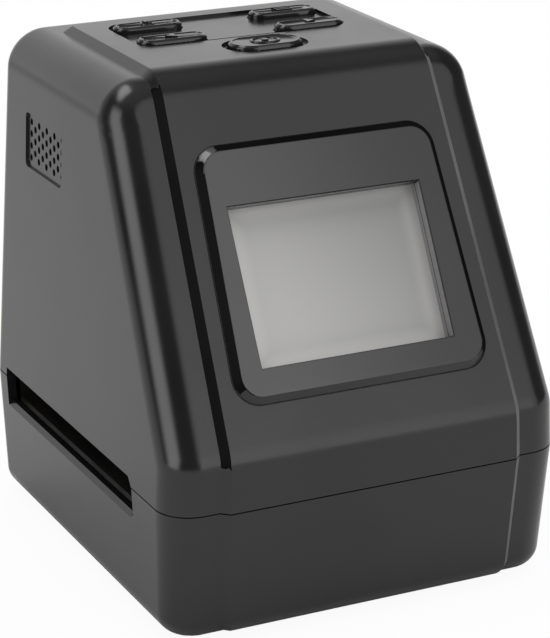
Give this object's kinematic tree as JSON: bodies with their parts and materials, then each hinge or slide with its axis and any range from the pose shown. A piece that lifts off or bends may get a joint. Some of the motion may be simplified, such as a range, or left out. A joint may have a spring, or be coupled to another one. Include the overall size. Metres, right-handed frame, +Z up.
{
  "type": "film negative scanner",
  "caption": "Desktop film negative scanner: tall moulded case with slanted screen, sprung keys on top and a through slot for a film holder.",
  "frame": {"origin": "on the table, under the middle of the case", "axes": "+X to the viewer's right, -Y out of the front with the screen, +Z up"},
  "size_m": [0.086, 0.098, 0.1052],
  "materials": {
    "black_abs": "satin black moulded ABS",
    "black_metal": "black anodised aluminium",
    "chip_plastic": "black moulded chip package",
    "circuit_board": "green solder mask on glass fibre board",
    "dark_grey_abs": "satin dark grey moulded ABS",
    "guide_plastic": "matt black moulded plastic",
    "lcd_glass": "grey screen surface, switched off",
    "led_package": "white LED package with yellow phosphor",
    "opal_acrylic": "opal acrylic",
    "optical_glass": "coated optical glass",
    "plated_shell": "nickel plated pressed shell",
    "ribbon_film": "polyimide flat cable",
    "rubber": "black rubber",
    "sensor_glass": "sensor die under cover glass",
    "socket_plastic": "ivory connector plastic",
    "spring_steel": "bright spring steel",
    "switch_plastic": "black switch plastic",
    "white_board": "white solder mask on glass fibre board",
    "white_plastic": "white moulded plastic",
    "zinc_steel": "zinc plated steel"
  },
  "bodies": {
    "case": {"backlight_leds": "led_package", "board_screws": "zinc_steel", "case_screws": "zinc_steel", "diffuser": "opal_acrylic", "film_guide_bottom": "guide_plastic", "film_guide_top": "guide_plastic", "holder_springs": "spring_steel", "image_sensor": "sensor_glass", "key_board": "circuit_board", "key_ribbon": "ribbon_film", "lcd_frame": "white_plastic", "lcd_panel": "lcd_glass", "led_board": "white_board", "lens_barrel": "black_metal", "lens_elements": "optical_glass", "lens_holder": "guide_plastic", "light_box": "white_plastic", "light_hood": "guide_plastic", "light_ribbon": "ribbon_film", "lower_case": "black_abs", "main_board": "circuit_board", "main_board_chips": "chip_plastic", "ribbon_sockets": "socket_plastic", "rubber_feet": "rubber", "screen_bezel": "dark_grey_abs", "screen_ribbon": "ribbon_film", "sd_card_socket": "plated_shell", "sensor_board": "circuit_board", "sensor_ribbon": "ribbon_film", "tact_switches": "switch_plastic", "upper_case": "black_abs", "usb_socket": "plated_shell"},
    "power_key": {"power_button": "black_abs", "power_switch_plunger": "switch_plastic"},
    "mode_key": {"mode_button": "black_abs", "mode_switch_plunger": "switch_plastic"},
    "left_key": {"left_button": "black_abs", "left_switch_plunger": "switch_plastic"},
    "right_key": {"right_button": "black_abs", "right_switch_plunger": "switch_plastic"},
    "ok_key": {"ok_button": "black_abs", "ok_switch_plunger": "switch_plastic"}
  },
  "joints": [
    {"name": "power_press", "type": "slide", "parent": "case", "child": "power_key", "axis": [0, 0, -1], "range_m": [0, 0.0005], "stiffness_N_per_m": 400},
    {"name": "mode_press", "type": "slide", "parent": "case", "child": "mode_key", "axis": [0, 0, -1], "range_m": [0, 0.0005], "stiffness_N_per_m": 400},
    {"name": "left_press", "type": "slide", "parent": "case", "child": "left_key", "axis": [0, 0, -1], "range_m": [0, 0.0005], "stiffness_N_per_m": 400},
    {"name": "right_press", "type": "slide", "parent": "case", "child": "right_key", "axis": [0, 0, -1], "range_m": [0, 0.0005], "stiffness_N_per_m": 400},
    {"name": "ok_press", "type": "slide", "parent": "case", "child": "ok_key", "axis": [0, 0, -1], "range_m": [0, 0.0005], "stiffness_N_per_m": 400}
  ]
}
